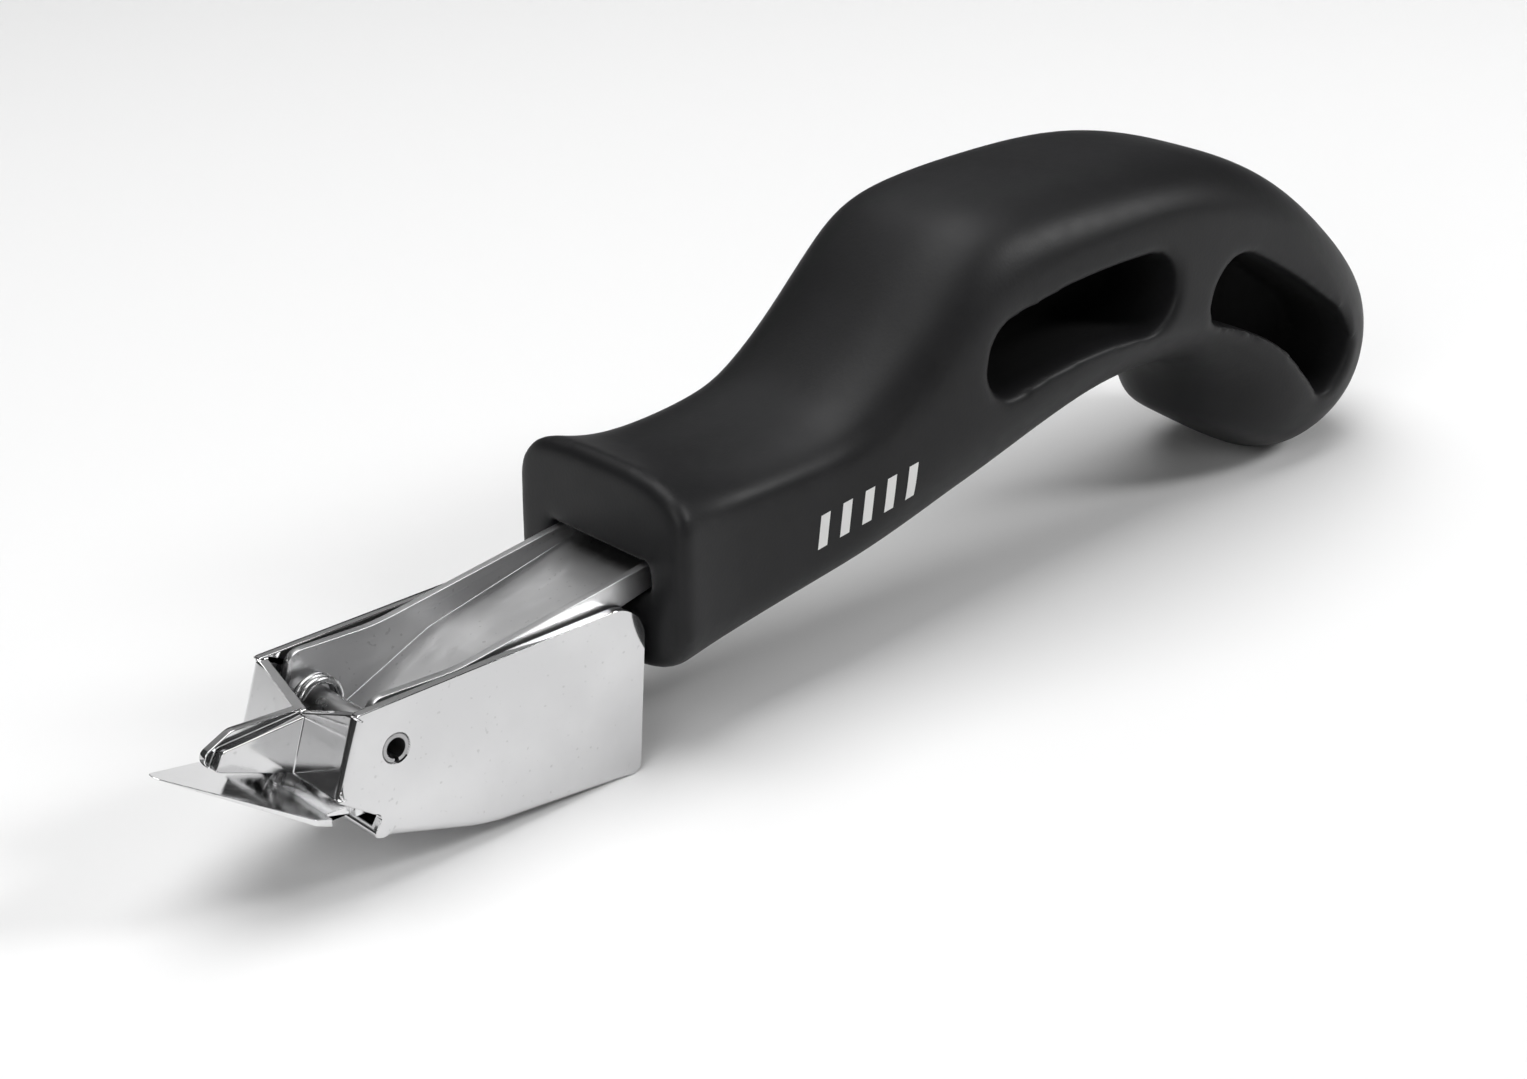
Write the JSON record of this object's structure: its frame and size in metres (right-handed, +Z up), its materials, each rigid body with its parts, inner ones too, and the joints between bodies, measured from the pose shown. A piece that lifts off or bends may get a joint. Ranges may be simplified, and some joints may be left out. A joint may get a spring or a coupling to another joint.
{
  "type": "staple remover",
  "caption": "Lever-type heavy-duty staple remover: swan-necked moulded handle on a pointed chromed blade lever, with a sprung toothed jaw housing turning on a roll pin.",
  "frame": {"origin": "bottom centre of the bounding box, on the table the tool lies on", "axes": "+X from the blade towards the handle, +Y across the tool along the pin, +Z up"},
  "size_m": [0.1826, 0.0306, 0.0501],
  "materials": {
    "grip_plastic": "satin black with a fine moulded texture",
    "chromed_sheet": "bright chrome plate on pressed steel sheet",
    "pin_steel": "plain rolled spring steel",
    "spring_wire": "drawn spring wire"
  },
  "bodies": {
    "lever": {"handle": "grip_plastic", "lever_arm": "chromed_sheet", "return_spring": "spring_wire"},
    "jaw": {"jaw_housing": "chromed_sheet", "pivot_pin": "pin_steel"}
  },
  "joints": [
    {"name": "jaw_pivot", "type": "hinge", "parent": "lever", "child": "jaw", "pos_m": [-0.06875, 0, 0.01576], "axis": [0, -1, 0], "range_deg": [0, 4.4], "stiffness_Nm_per_rad": 0.3, "springref_deg": -14.32, "deforming": ["return_spring"]}
  ]
}
